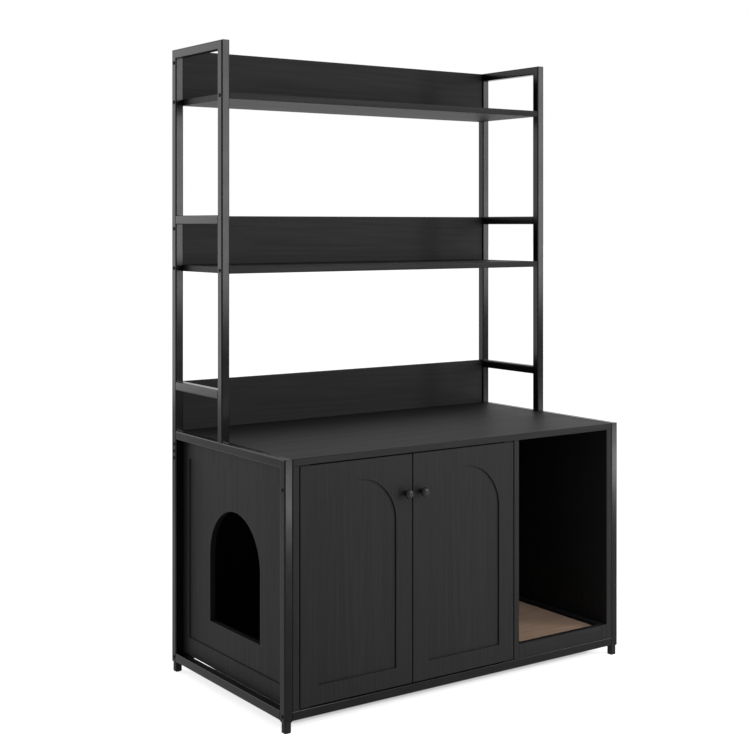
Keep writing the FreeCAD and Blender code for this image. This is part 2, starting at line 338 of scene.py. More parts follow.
@dataclass(frozen=True)
class PowderCoat:
    """Satin black powder coat on steel tube, with its fine orange peel and rubbed edges."""

    name: str = "satin_black_powder_coat"
    coat: Colour = (0.0038, 0.0038, 0.0040)
    mottle: Colour = (0.0056, 0.0056, 0.0058)
    rubbed: Colour = (0.016, 0.016, 0.0165)
    smooth: float = 0.16
    dull: float = 0.21
    gloss: float = 0.12
    cloud_size: float = 0.07
    speckle_size: float = 0.6 * MM
    speckle_share: float = 0.3
    wear_size: float = 0.02
    wear_reach: float = 1.2 * MM
    peel_size: float = 1.6 * MM
    peel_depth: float = 0.004 * MM

    def material(self) -> bpy.types.Material:
        """Builds the node sheet of the finish.

        Returns:
            The material.
        """
        sheet = FinishSheet(self.name)
        sheet.fix(Specular_IOR_Level=self.gloss)
        cloud = sheet.clouds(self.cloud_size, 3.0)
        speckle = sheet.clouds(self.speckle_size, 2.0)
        rubs = sheet.clouds(self.wear_size, 4.0)
        wear = sheet.combine("MULTIPLY", sheet.edges(self.wear_reach), rubs)
        base = sheet.tint(sheet.spread(cloud, 0, 1, 0.35, 0.65), self.coat, self.mottle)
        base = sheet.tint(sheet.spread(speckle, 0, self.speckle_share, 0.62, 0.75), base, self.rubbed)
        sheet.colour(sheet.tint(wear, base, self.rubbed))
        sheet.roughness(sheet.spread(cloud, self.smooth, self.dull, 0.3, 0.7))
        sheet.relief(sheet.clouds(self.peel_size, 2.0), self.peel_depth)
        return sheet.material


@dataclass(frozen=True)
class BlackBoard:
    """Black decor board with an ash figure that shows as fine streaks, faint arches and open pores."""

    name: str
    grain: Grain
    heart: Point
    ground: Colour = (0.0092, 0.0092, 0.0094)
    light_streak: Colour = (0.0124, 0.0124, 0.0126)
    dark_arch: Colour = (0.0066, 0.0066, 0.0068)
    worn: Colour = (0.020, 0.020, 0.020)
    gloss: float = 0.11
    smooth: float = 0.48
    dull: float = 0.58
    streak_length: float = 0.34
    streak_width: float = 5 * MM
    pore_length: float = 14 * MM
    pore_width: float = 0.55 * MM
    pore_depth: float = 0.09 * MM
    cloud_size: float = 0.22
    wear_size: float = 0.03
    wear_reach: float = 1.0 * MM
    ring_pitch: float = 11 * MM
    ring_stretch: float = 4.0
    heart_depth: float = 38 * MM

    def tilt(self) -> Point:
        """Turn of the trunk against the board, which draws the rings out into arches.

        Returns:
            The angles in degrees.
        """
        if self.grain is Grain.UPRIGHT:
            return (2.2, 0.8, 0.0)
        if self.grain is Grain.ACROSS:
            return (0.0, 2.0, 0.9)
        return (0.9, 0.0, 2.0)

    def arches(self, sheet: FinishSheet) -> bpy.types.NodeSocket:
        """Wavy growth rings round the heart of the trunk.

        Args:
            sheet: node sheet of the board.

        Returns:
            The value socket, from 0 to 1.
        """
        wave = sheet.add("ShaderNodeTexWave", wave_type="RINGS", rings_direction=self.grain.value)
        wave.inputs["Scale"].default_value = 0.32
        wave.inputs["Distortion"].default_value = 2.6
        wave.inputs["Detail"].default_value = 3.0
        wave.inputs["Detail Scale"].default_value = 0.7
        wave.inputs["Detail Roughness"].default_value = 0.6
        size = self.grain.stretch(self.ring_pitch * self.ring_stretch, self.ring_pitch)
        sheet.join(sheet.place(size, self.heart, self.tilt()), wave.inputs["Vector"])
        return wave.outputs["Fac"]

    def material(self) -> bpy.types.Material:
        """Builds the node sheet of the finish.

        Returns:
            The material.
        """
        sheet = FinishSheet(self.name)
        sheet.fix(Specular_IOR_Level=self.gloss)
        streak_size = self.grain.stretch(self.streak_length, self.streak_width)
        streaks = sheet.noise(sheet.place(streak_size, self.heart), 4.0, 0.6, 0.3)
        pore_size = self.grain.stretch(self.pore_length, self.pore_width)
        pores = sheet.noise(sheet.place(pore_size, self.heart), 3.0, 0.65)
        cloud = sheet.clouds(self.cloud_size, 2.0, self.heart)
        arches = self.arches(sheet)
        base = sheet.tint(sheet.spread(streaks, 0, 1, 0.38, 0.66), self.ground, self.light_streak)
        arch_share = sheet.combine("MULTIPLY", sheet.spread(arches, 0, 0.75, 0.45, 0.95), cloud)
        base = sheet.tint(arch_share, base, self.dark_arch)
        base = sheet.tint(sheet.spread(pores, 0, 0.6, 0.60, 0.72), base, self.dark_arch)
        rubs = sheet.clouds(self.wear_size, 3.0)
        wear = sheet.combine("MULTIPLY", sheet.edges(self.wear_reach), rubs)
        sheet.colour(sheet.tint(wear, base, self.worn))
        sheet.roughness(sheet.spread(streaks, self.dull, self.smooth, 0.3, 0.7))
        depth = sheet.combine("ADD", sheet.combine("MULTIPLY", pores, 0.7), sheet.combine("MULTIPLY", streaks, 0.3))
        sheet.relief(depth, self.pore_depth)
        return sheet.material


@dataclass(frozen=True)
class MouldedPlastic:
    """Black injection-moulded plastic with a fine sparked texture."""

    name: str = "black_moulded_plastic"
    body: Colour = (0.008, 0.008, 0.008)
    scuff: Colour = (0.022, 0.0215, 0.021)
    texture_size: float = 0.45 * MM
    texture_depth: float = 0.03 * MM

    def material(self) -> bpy.types.Material:
        """Builds the node sheet of the finish.

        Returns:
            The material.
        """
        sheet = FinishSheet(self.name)
        sheet.fix(Specular_IOR_Level=0.12)
        cloud = sheet.clouds(0.012, 3.0)
        scuffs = sheet.combine("MULTIPLY", sheet.edges(1.5 * MM), cloud)
        base = sheet.tint(sheet.spread(cloud, 0, 0.35, 0.4, 0.7), self.body, self.scuff)
        sheet.colour(sheet.tint(scuffs, base, self.scuff))
        sheet.roughness(sheet.spread(cloud, 0.42, 0.58, 0.3, 0.7))
        sheet.relief(sheet.clouds(self.texture_size, 3.0), self.texture_depth)
        return sheet.material


@dataclass(frozen=True)
class PlatedSteel:
    """Bright zinc plating with faint rolling lines and duller edges."""

    name: str = "zinc_plated_steel"
    bright: Colour = (0.60, 0.62, 0.64)
    dull: Colour = (0.42, 0.43, 0.45)
    rolling: Grain = Grain.ACROSS

    def material(self) -> bpy.types.Material:
        """Builds the node sheet of the finish.

        Returns:
            The material.
        """
        sheet = FinishSheet(self.name)
        sheet.fix(Metallic=1.0)
        lines = sheet.noise(sheet.place(self.rolling.stretch(9 * MM, 0.35 * MM)), 3.0)
        cloud = sheet.clouds(5 * MM, 3.0)
        base = sheet.tint(sheet.spread(lines, 0, 0.6, 0.4, 0.7), self.bright, self.dull)
        sheet.colour(sheet.tint(sheet.edges(0.5 * MM), base, self.dull))
        sheet.roughness(sheet.spread(cloud, 0.24, 0.42, 0.3, 0.7))
        sheet.relief(lines, 0.01 * MM)
        return sheet.material


@dataclass(frozen=True)
class BlackenedSteel:
    """Black oxide on bolts, duller than the powder coat around them."""

    name: str = "blackened_steel"
    oxide: Colour = (0.006, 0.006, 0.0065)
    bare: Colour = (0.024, 0.024, 0.025)

    def material(self) -> bpy.types.Material:
        """Builds the node sheet of the finish.

        Returns:
            The material.
        """
        sheet = FinishSheet(self.name)
        sheet.fix(Specular_IOR_Level=0.10)
        cloud = sheet.clouds(2.5 * MM, 3.0)
        wear = sheet.combine("MULTIPLY", sheet.edges(0.4 * MM), sheet.spread(cloud, 0, 1, 0.4, 0.7))
        base = sheet.tint(sheet.spread(cloud, 0, 0.3, 0.4, 0.7), self.oxide, self.bare)
        sheet.colour(sheet.tint(wear, base, self.bare))
        sheet.roughness(sheet.spread(cloud, 0.40, 0.55, 0.3, 0.7))
        sheet.relief(sheet.clouds(0.5 * MM, 2.0), 0.015 * MM)
        return sheet.material


@dataclass(frozen=True)
class KnobLacquer:
    """Glossy black lacquer on the turned knobs."""

    name: str = "glossy_black_lacquer"
    body: Colour = (0.010, 0.010, 0.010)
    bloom: Colour = (0.018, 0.018, 0.019)

    def material(self) -> bpy.types.Material:
        """Builds the node sheet of the finish.

        Returns:
            The material.
        """
        sheet = FinishSheet(self.name)
        sheet.fix(Specular_IOR_Level=0.16, Coat_Weight=0.05, Coat_Roughness=0.12)
        cloud = sheet.clouds(6 * MM, 3.0)
        sheet.colour(sheet.tint(sheet.spread(cloud, 0, 1, 0.35, 0.7), self.body, self.bloom))
        sheet.roughness(sheet.spread(cloud, 0.20, 0.27, 0.3, 0.7))
        sheet.relief(sheet.clouds(1.4 * MM, 2.0), 0.006 * MM)
        return sheet.material


@dataclass(frozen=True)
class Ferrite:
    """Dark sintered magnet with a grainy face."""

    name: str = "sintered_magnet"
    body: Colour = (0.045, 0.044, 0.046)
    speck: Colour = (0.11, 0.108, 0.11)

    def material(self) -> bpy.types.Material:
        """Builds the node sheet of the finish.

        Returns:
            The material.
        """
        sheet = FinishSheet(self.name)
        sheet.fix(Specular_IOR_Level=0.5)
        specks = sheet.clouds(0.5 * MM, 4.0)
        sheet.colour(sheet.tint(sheet.spread(specks, 0, 0.8, 0.55, 0.75), self.body, self.speck))
        sheet.roughness(sheet.spread(specks, 0.45, 0.65, 0.3, 0.7))
        sheet.relief(specks, 0.03 * MM)
        return sheet.material


@dataclass(frozen=True)
class Fibreboard:
    """Raw brown fibreboard with pressed fibres."""

    name: str = "raw_fibreboard"
    ground: Colour = (0.20, 0.125, 0.075)
    fibre: Colour = (0.33, 0.22, 0.14)
    dark: Colour = (0.11, 0.065, 0.04)

    def material(self) -> bpy.types.Material:
        """Builds the node sheet of the finish.

        Returns:
            The material.
        """
        sheet = FinishSheet(self.name)
        sheet.fix(Specular_IOR_Level=0.2)
        fibres = sheet.noise(sheet.place((3.5 * MM, 1.2 * MM, 0.8 * MM)), 4.0, 0.65, 0.6)
        cloud = sheet.clouds(0.05, 3.0)
        base = sheet.tint(sheet.spread(fibres, 0, 1, 0.4, 0.65), self.ground, self.fibre)
        sheet.colour(sheet.tint(sheet.spread(cloud, 0, 0.5, 0.5, 0.75), base, self.dark))
        sheet.roughness(sheet.spread(fibres, 0.75, 0.9, 0.3, 0.7))
        sheet.relief(fibres, 0.12 * MM)
        return sheet.material


@dataclass(frozen=True)
class SisalMat:
    """Tan sisal yarn with twisted fibres, paler loose hairs and a little sheen."""

    name: str = "tan_sisal_yarn"
    yarn: Colour = (0.226, 0.142, 0.091)
    pale: Colour = (0.290, 0.194, 0.134)
    brown: Colour = (0.142, 0.078, 0.047)
    streak_length: float = 0.12
    streak_width: float = 12 * MM

    def material(self) -> bpy.types.Material:
        """Builds the node sheet of the finish.

        Returns:
            The material.
        """
        sheet = FinishSheet(self.name)
        sheet.fix(Specular_IOR_Level=0.15, Sheen_Weight=0.12, Sheen_Roughness=0.5)
        streaks = sheet.noise(sheet.place(Grain.ACROSS.stretch(self.streak_length, self.streak_width)), 4.0, 0.6, 0.4)
        fibres = sheet.noise(sheet.place((1.6 * MM, 0.45 * MM, 0.6 * MM), tilt=(0, 0, 24)), 4.0, 0.7)
        knots = sheet.clouds(6 * MM, 3.0)
        base = sheet.tint(sheet.spread(streaks, 0, 0.7, 0.4, 0.68), self.yarn, self.pale)
        base = sheet.tint(sheet.spread(knots, 0, 0.45, 0.55, 0.8), base, self.brown)
        sheet.colour(sheet.tint(sheet.spread(fibres, 0, 0.5, 0.56, 0.75), base, self.brown))
        sheet.roughness(sheet.spread(fibres, 0.78, 0.92, 0.3, 0.7))
        sheet.relief(fibres, 0.25 * MM)
        return sheet.material


# ---- Small turned and pressed parts -------------------------------------------------------------


@dataclass(frozen=True)
class Spot:
    """Place of a fastener: the middle of its seat and the way its head points."""

    seat: Point
    outward: Point

    def matrix(self) -> Matrix:
        """Turns +Z into the outward direction and moves the origin to the seat."""
        turn = Vector((0, 0, 1)).rotation_difference(Vector(self.outward)).to_matrix().to_4x4()
        return Matrix.Translation(Vector(self.seat)) @ turn


@dataclass(frozen=True)
class ScrewHead:
    """Head of a screw or bolt: a closed turned form with a recess for the tool."""

    radius: float
    height: float
    drive: Drive
    recess_reach: float
    recess_depth: float
    rim: float = 0.35
    slot_width: float = 0.24
    recess_taper: float = 0.7
    recess_lip: float = 0.1
    recess_point: float = 1.15
    land: float = 0.08
    crown_shares: tuple[float, ...] = (0.35, 0.65, 0.88, 1.0)
    steps: int = 24

    def recess_radius(self, angle: float) -> float:
        """Distance from the axis to the wall of the recess.

        Args:
            angle: direction in radians.

        Returns:
            The distance in metres.
        """
        if self.drive is Drive.HEX_SOCKET:
            sector = math.pi / 3
            return self.recess_reach / math.cos((angle + sector / 2) % sector - sector / 2)
        wide, narrow = self.recess_reach, self.recess_reach * self.slot_width
        across = max(abs(math.cos(angle)), 1e-6)
        along = max(abs(math.sin(angle)), 1e-6)
        return max(min(wide / across, narrow / along), min(narrow / across, wide / along))

    def rings(self) -> list[list[Point]]:
        """Rings of points from the middle of the recess out to the rim of the head's seat.

        Returns:
            The rings, each with one point for every step.
        """
        angles = [2 * math.pi * step / self.steps for step in range(self.steps)]
        wall = [self.recess_radius(angle) for angle in angles]
        flat = max(wall) + self.land * self.radius
        rows = []
        for share, sunk in ((self.recess_taper, 1.0), (1.0, self.recess_lip)):
            level = self.height - sunk * self.recess_depth
            rows.append([(share * r * math.cos(a), share * r * math.sin(a), level) for a, r in zip(angles, wall)])
        outline = [(flat, self.height)]
        for share in self.crown_shares:
            sweep = share * math.pi / 2
            reach = flat + (self.radius - flat) * math.sin(sweep)
            drop = self.height * self.rim + self.height * (1 - self.rim) * math.cos(sweep)
            outline.append((reach, drop))
        outline.append((self.radius, 0.0))
        for reach, level in outline:
            rows.append([(reach * math.cos(a), reach * math.sin(a), level) for a in angles])
        return rows

    def add_to(self, form: bmesh.types.BMesh, spot: Spot) -> None:
        """Adds the head to a mesh under construction.

        Args:
            form: mesh to add to.
            spot: place of the head.
        """
        place = spot.matrix()
        rows = [[form.verts.new(place @ Vector(point)) for point in row] for row in self.rings()]
        floor = form.verts.new(place @ Vector((0, 0, self.height - self.recess_depth * self.recess_point)))
        for index in range(self.steps):
            following = (index + 1) % self.steps
            form.faces.new((floor, rows[0][index], rows[0][following]))
            for inner, outer in zip(rows, rows[1:]):
                form.faces.new((inner[index], outer[index], outer[following], inner[following]))
        form.faces.new(list(reversed(rows[-1])))


@dataclass(frozen=True)
class TurnedForm:
    """Solid of revolution through a smooth line of profile points."""

    profile: tuple[tuple[float, float], ...]
    steps: int = 56
    refine: int = 5

    def smooth_profile(self) -> list[tuple[float, float]]:
        """Profile with extra points on a smooth curve through the given ones.

        Returns:
            The points, each as distance from the axis and level.
        """
        points = [Vector((*pair, 0)) for pair in self.profile]
        ends = [points[0], *points, points[-1]]
        line = []
        for before, start, end, after in zip(ends, ends[1:], ends[2:], ends[3:]):
            for step in range(self.refine):
                t = step / self.refine
                curve = 0.5 * (
                    2 * start
                    + (end - before) * t
                    + (2 * before - 5 * start + 4 * end - after) * t**2
                    + (3 * start - before - 3 * end + after) * t**3
                )
                line.append((max(curve.x, 0.0), curve.y))
        line.append(self.profile[-1])
        return line

    def add_to(self, form: bmesh.types.BMesh, spot: Spot) -> None:
        """Adds the turned form to a mesh under construction.

        Args:
            form: mesh to add to.
            spot: place of the seat and direction of the axis.
        """
        place = spot.matrix()
        line = self.smooth_profile()
        start, end = line[0], line[-1]
        rows = []
        for reach, level in line[1:-1]:
            row = []
            for step in range(self.steps):
                angle = 2 * math.pi * step / self.steps
                row.append(form.verts.new(place @ Vector((reach * math.cos(angle), reach * math.sin(angle), level))))
            rows.append(row)
        seat = form.verts.new(place @ Vector((0, 0, start[1])))
        crown = form.verts.new(place @ Vector((0, 0, end[1])))
        for index in range(self.steps):
            following = (index + 1) % self.steps
            form.faces.new((seat, rows[0][following], rows[0][index]))
            form.faces.new((crown, rows[-1][index], rows[-1][following]))
            for lower, upper in zip(rows, rows[1:]):
                form.faces.new((lower[index], lower[following], upper[following], upper[index]))


# ---- Sub-assemblies -----------------------------------------------------------------------------


class SubAssembly:
    """Common work of every sub-assembly: finding its CAD nodes, dressing them and adding pieces."""

    def __init__(self, nodes: dict[str, bpy.types.Object]) -> None:
        """Keeps the CAD nodes by name.

        Args:
            nodes: every CAD node of the frame.
        """
        self.nodes = nodes

    def dress(self, names: Iterable[str], material: bpy.types.Material) -> None:
        """Gives CAD nodes a finish.

        Args:
            names: names of the nodes.
            material: finish for all their slots.
        """
        for name in names:
            for slot in self.nodes[name].material_slots:
                slot.material = material
            LOG.info("%s dressed in %s", name, material.name)

    def add_piece(
        self,
        name: str,
        build: Callable[[bmesh.types.BMesh], None],
        material: bpy.types.Material,
        body: Body,
        slot: Slot,
        crease: float = 32.0,
    ) -> bpy.types.Object:
        """Makes a piece in mesh code and lets it ride on a body.

        Args:
            name: name of the piece.
            build: function that fills the mesh.
            material: finish of the piece.
            body: moving group that it rides on.
            slot: finish slot of the part; not used.
            crease: angle in degrees above which an edge stays sharp.

        Returns:
            The new object.
        """
        form = bmesh.new()
        build(form)
        bmesh.ops.recalc_face_normals(form, faces=form.faces)
        mesh = bpy.data.meshes.new(name)
        form.to_mesh(mesh)
        form.free()
        mesh.polygons.foreach_set("use_smooth", [True] * len(mesh.polygons))
        mesh.set_sharp_from_angle(angle=math.radians(crease))
        mesh.materials.append(material)
        piece = bpy.data.objects.new(name, mesh)
        bpy.context.scene.collection.objects.link(piece)
        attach(piece, body.value)
        LOG.info("%s: %d faces, rides on %s", name, len(mesh.polygons), body.value)
        return piece

    def add_screws(
        self,
        name: str,
        head: ScrewHead,
        spots: Sequence[Spot],
        material: bpy.types.Material,
        body: Body,
        slot: Slot,
    ) -> bpy.types.Object:
        """Adds one piece that holds the same screw head at several spots.

        Args:
            name: name of the piece.
            head: shape of each head.
            spots: places of the heads.
            material: finish of the heads.
            body: moving group that they ride on.
            slot: finish slot of the part.

        Returns:
            The new object.
        """

        def build(form: bmesh.types.BMesh) -> None:
            """Fills the mesh with a head at each spot."""
            for spot in spots:
                head.add_to(form, spot)

        return self.add_piece(name, build, material, body, slot)


@dataclass
class SteelFrame:
    """Square steel tubes, the inserts that join them and the bolts that hold the frame together."""

    work: SubAssembly
    finish: PowderCoat = PowderCoat()
    bolt_finish: BlackenedSteel = BlackenedSteel()
    bolt_head: ScrewHead = ScrewHead(5.6 * MM, 2.2 * MM, Drive.HEX_SOCKET, 2.0 * MM, 1.5 * MM)
    side_reach: float = 0.585
    hutch_front: float = 0.0425
    wall_line: float = 0.3175
    cabinet_front: float = -0.2875
    hutch_front_levels: tuple[float, ...] = (1.648, 1.168)
    wall_levels: tuple[float, ...] = (1.762, 1.648, 1.282, 1.168, 0.659, 0.639, 0.619, 0.0425)
    cabinet_front_levels: tuple[float, ...] = (0.619, 0.0425)

    def tube_names(self) -> list[str]:
        """Names of the tubes of both side frames and of the two cross rails.

        Returns:
            The names of the CAD nodes.
        """
        kinds = (
            "front_post",
            "rear_post",
            "top_rail",
            "bottom_rail",
            "hutch_front_post",
            "hutch_rear_post",
            "hutch_top_rail",
            "hutch_middle_rail",
            "hutch_low_rail",
        )
        names = [f"{side}_{kind}" for side in ("left", "right") for kind in kinds]
        return [*names, "front_bottom_rail", "rear_bottom_rail"]

    def bolt_spots(self) -> list[Spot]:
        """Places of the bolts on the outer faces of the posts.

        Returns:
            One spot for each bolt.
        """
        rows = (
            (self.hutch_front, self.hutch_front_levels),
            (self.wall_line, self.wall_levels),
            (self.cabinet_front, self.cabinet_front_levels),
        )
        return [
            Spot((side * self.side_reach, depth, level), (side, 0, 0))
            for side in (-1, 1)
            for depth, levels in rows
            for level in levels
        ]

    def build(self) -> None:
        """Dresses the tubes and inserts and adds the bolts."""
        self.work.dress(self.tube_names(), self.finish.material())
        self.work.dress(["post_sleeves"], PlatedSteel(name="drawn_sleeve_steel", rolling=Grain.UPRIGHT).material())
        steel = self.bolt_finish.material()
        self.work.add_screws("frame_bolts", self.bolt_head, self.bolt_spots(), steel, Body.CABINET, Slot.FRAME_STEEL)


@dataclass
class PlasticParts:
    """Feet and hidden plugs moulded in black plastic."""

    work: SubAssembly
    finish: MouldedPlastic = MouldedPlastic()

    def build(self) -> None:
        """Dresses the feet and the plugs."""
        feet = [f"{side}_{end}_foot" for side in ("left", "right") for end in ("front", "rear")]
        self.work.dress([*feet, "rail_end_plugs", "hutch_post_plugs"], self.finish.material())


@dataclass
class CabinetPanels:
    """Boards of the cabinet's carcass and the screws of its back panels."""

    work: SubAssembly
    screw_head: ScrewHead = ScrewHead(3.2 * MM, 1.1 * MM, Drive.CROSS, 1.9 * MM, 0.8 * MM)
    back_face: float = 0.325
    screw_columns: tuple[float, ...] = (-0.5505, 0.1825, 0.1915, 0.5505)
    screw_levels: tuple[float, ...] = (0.075, 0.22, 0.367, 0.514, 0.66)

    def boards(self) -> dict[str, Grain]:
        """Boards of the carcass.

        Returns:
            The direction of the grain, by the name of the CAD node.
        """
        return {
            "tabletop": Grain.ACROSS,
            "left_side_panel": Grain.UPRIGHT,
            "right_side_panel": Grain.UPRIGHT,
            "divider_panel": Grain.UPRIGHT,
            "left_back_panel": Grain.UPRIGHT,
            "right_back_panel": Grain.UPRIGHT,
            "litter_floor_panel": Grain.ACROSS,
            "bay_floor_panel": Grain.ACROSS,
        }

    def build(self) -> None:
        """Dresses the boards and adds the screws of the back panels."""
        for name, grain in self.boards().items():
            self.work.dress([name], board_finish(name, grain))
        spots = [Spot((x, self.back_face, z), (0, 1, 0)) for x in self.screw_columns for z in self.screw_levels]
        steel = BlackenedSteel(name="blackened_screw_steel").material()
        self.work.add_screws("back_panel_screws", self.screw_head, spots, steel, Body.CABINET, Slot.PLATED_STEEL)


@dataclass
class Hutch:
    """Two shelves and the low boards behind them."""

    work: SubAssembly

    def build(self) -> None:
        """Dresses the shelves and the low rear boards."""
        names = ("middle_shelf", "top_shelf", "lower_splash_board", "middle_splash_board", "top_splash_board")
        for name in names:
            self.work.dress([name], board_finish(name, Grain.ACROSS))


@dataclass
class DoorPair:
    """The two doors with their knobs, pivots, strike plates and screws."""

    work: SubAssembly
    middle: float = -0.1815
    knob_offset: float = 0.0265
    knob_level: float = 0.573
    front_face: float = -0.3
    rear_face: float = -0.285
    strike_face: float = -0.2838
    strike_offset: float = 0.018
    strike_level: float = 0.669
    pivot_depth: float = -0.290
    pivot_outer: float = 0.3595
    lower_plate_top: float = 0.0577
    upper_plate_under: float = 0.6763
    strike_screw_offset: float = 8.5 * MM
    pivot_screw_insets: tuple[float, ...] = (19 * MM, 28 * MM)
    pan_head: ScrewHead = ScrewHead(4.4 * MM, 2.4 * MM, Drive.CROSS, 2.3 * MM, 1.3 * MM)
    flush_head: ScrewHead = ScrewHead(2.5 * MM, 0.12 * MM, Drive.CROSS, 1.4 * MM, 0.1 * MM, rim=0.6)
    knob_profile: tuple[tuple[float, float], ...] = (
        (0.0, 0.0),
        (6.0 * MM, 0.0),
        (6.5 * MM, 0.5 * MM),
        (6.1 * MM, 1.8 * MM),
        (5.2 * MM, 4.5 * MM),
        (5.0 * MM, 9.0 * MM),
        (5.6 * MM, 13.0 * MM),
        (8.4 * MM, 15.8 * MM),
        (11.4 * MM, 16.9 * MM),
        (12.8 * MM, 18.6 * MM),
        (13.0 * MM, 20.6 * MM),
        (12.4 * MM, 23.2 * MM),
        (10.8 * MM, 26.0 * MM),
        (8.0 * MM, 28.4 * MM),
        (4.4 * MM, 29.7 * MM),
        (1.4 * MM, 30.0 * MM),
        (0.0, 30.0 * MM),
    )

    def build_door(
        self,
        side: int,
        body: Body,
        lacquer: bpy.types.Material,
        plate: bpy.types.Material,
        black: bpy.types.Material,
    ) -> None:
        """Dresses one door and adds its knob and screws.

        Args:
            side: -1 for the left door and 1 for the right one.
            body: moving group of the door.
            lacquer: finish of the knob.
            plate: finish of the strike plate and its screws.
            black: finish of the pivots and their screws.
        """
        name = "left" if side < 0 else "right"
        self.work.dress([f"{name}_door"], board_finish(f"{name}_door", Grain.UPRIGHT))
        self.work.dress([f"{name}_strike_plate"], plate)
        self.work.dress([f"{name}_lower_pivot", f"{name}_upper_pivot"], black)
        axis = self.middle + side * self.knob_offset
        turned = TurnedForm(self.knob_profile)
        knob_spot = Spot((axis, self.front_face, self.knob_level), (0, -1, 0))
        knob = self.work.add_piece(
            f"{name}_turned_knob",
            lambda form: turned.add_to(form, knob_spot),
            lacquer,
            body,
            Slot.KNOB_METAL,
            crease=60.0,
        )
        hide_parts(f"{name}_knob")
        rear = [Spot((axis, self.rear_face, self.knob_level), (0, 1, 0))]
        self.work.add_screws(f"{name}_knob_screw", self.pan_head, rear, plate, body, Slot.PLATED_STEEL)
        strike = self.middle + side * self.strike_offset
        spots = [
            Spot((strike + end * self.strike_screw_offset, self.strike_face, self.strike_level), (0, 1, 0))
            for end in (-1, 1)
        ]
        self.work.add_screws(f"{name}_strike_screws", self.flush_head, spots, plate, body, Slot.PLATED_STEEL)
        plate_end = self.middle + side * self.pivot_outer
        pivots = [
            Spot((plate_end - side * inset, self.pivot_depth, level), (0, 0, way))
            for inset in self.pivot_screw_insets
            for level, way in ((self.lower_plate_top, 1), (self.upper_plate_under, -1))
        ]
        self.work.add_screws(f"{name}_pivot_screws", self.flush_head, pivots, black, Body.CABINET, Slot.PLATED_STEEL)

    def build(self) -> None:
        """Builds both doors."""
        lacquer = KnobLacquer().material()
        plate = PlatedSteel().material()
        black = BlackenedSteel(name="blackened_pivot_steel").material()
        self.build_door(-1, Body.LEFT_DOOR, lacquer, plate, black)
        self.build_door(1, Body.RIGHT_DOOR, lacquer, plate, black)


@dataclass
class MagneticCatch:
    """Double magnetic catch under the tabletop."""

    work: SubAssembly
    middle: float = -0.1815
    screw_offset: float = 0.024
    screw_depth: float = -0.270
    under_side: float = 0.662
    screw_head: ScrewHead = ScrewHead(2.6 * MM, 1.3 * MM, Drive.CROSS, 1.6 * MM, 0.9 * MM)

    def build(self) -> None:
        """Dresses the housing and the magnets and adds the two screws."""
        self.work.dress(["catch_housing"], MouldedPlastic(name="catch_plastic").material())
        self.work.dress(["catch_magnets"], Ferrite().material())
        spots = [
            Spot((self.middle + side * self.screw_offset, self.screw_depth, self.under_side), (0, 0, -1))
            for side in (-1, 1)
        ]
        plate = PlatedSteel(name="catch_screw_zinc").material()
        self.work.add_screws("catch_screws", self.screw_head, spots, plate, Body.CABINET, Slot.PLATED_STEEL)


@dataclass
class ScratchingBay:
    """Tray boards, the pad's board and the woven mat on it."""

    work: SubAssembly
    loop_pitch: float = 6.0 * MM
    row_pitch: float = 6.0 * MM
    loop_height: float = 0.9 * MM
    loop_dip: float = 0.38
    row_round: float = 0.8
    samples_across: int = 4
    samples_inward: int = 5
    border: float = 2.2 * MM
    border_drop: float = 1.6 * MM
    fray: float = 0.25 * MM
    fray_size: float = 3.5 * MM

    def surface(self, x: float, y: float, low: Vector, high: Vector) -> float:
        """Height of the mat's woven surface.

        Args:
            x: place across the mat.
            y: place from front to rear.
            low: lowest corner of the mat.
            high: highest corner of the mat.

        Returns:
            The level in metres.
        """
        row = (y - low.y) / self.row_pitch
        shift = 0.5 * (math.floor(row) % 2)
        loop = (x - low.x) / self.loop_pitch + shift
        bulge = 1 - self.loop_dip + self.loop_dip * math.sin(math.pi * (loop % 1.0))
        crown = math.sin(math.pi * (row % 1.0)) ** self.row_round * bulge
        edge = min(x - low.x, high.x - x, y - low.y, high.y - y)
        fall = max(0.0, 1.0 - edge / self.border)
        hair = self.fray * noise.noise(Vector((x, y, 0.0)) / self.fray_size)
        return high.z - self.loop_height * (1 - crown) - self.border_drop * fall**2 + hair * (1 - fall)

    def weave(self, form: bmesh.types.BMesh) -> None:
        """Fills a mesh with the mat: a woven top, straight sides and a flat underside.

        Args:
            form: mesh to fill.
        """
        low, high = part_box("scratching_mat")
        across = round((high.x - low.x) / self.loop_pitch) * self.samples_across
        inward = round((high.y - low.y) / self.row_pitch) * self.samples_inward
        grid = []
        for j in range(inward + 1):
            y = low.y + (high.y - low.y) * j / inward
            row = []
            for i in range(across + 1):
                x = low.x + (high.x - low.x) * i / across
                row.append(form.verts.new((x, y, self.surface(x, y, low, high))))
            grid.append(row)
        for lower, upper in zip(grid, grid[1:]):
            for i in range(across):
                form.faces.new((lower[i], lower[i + 1], upper[i + 1], upper[i]))
        rim = [
            *grid[0],
            *[row[-1] for row in grid[1:-1]],
            *reversed(grid[-1]),
            *[row[0] for row in reversed(grid[1:-1])],
        ]
        foot = [form.verts.new((vertex.co.x, vertex.co.y, low.z)) for vertex in rim]
        for index, vertex in enumerate(rim):
            following = (index + 1) % len(rim)
            form.faces.new((rim[following], vertex, foot[index], foot[following]))
        form.faces.new(foot)

    def build(self) -> None:
        """Dresses the tray and the pad's board and adds the mat."""
        for side, grain in (("left", Grain.INWARD), ("right", Grain.INWARD), ("front", Grain.ACROSS)):
            self.work.dress([f"tray_{side}_board"], board_finish(f"tray_{side}_board", grain))
        self.work.dress(["scratching_pad_board"], Fibreboard().material())
        mat = self.work.add_piece(
            "woven_mat", self.weave, SisalMat().material(), Body.CABINET, Slot.MAT_FABRIC, crease=50.0
        )
        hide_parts("scratching_mat")


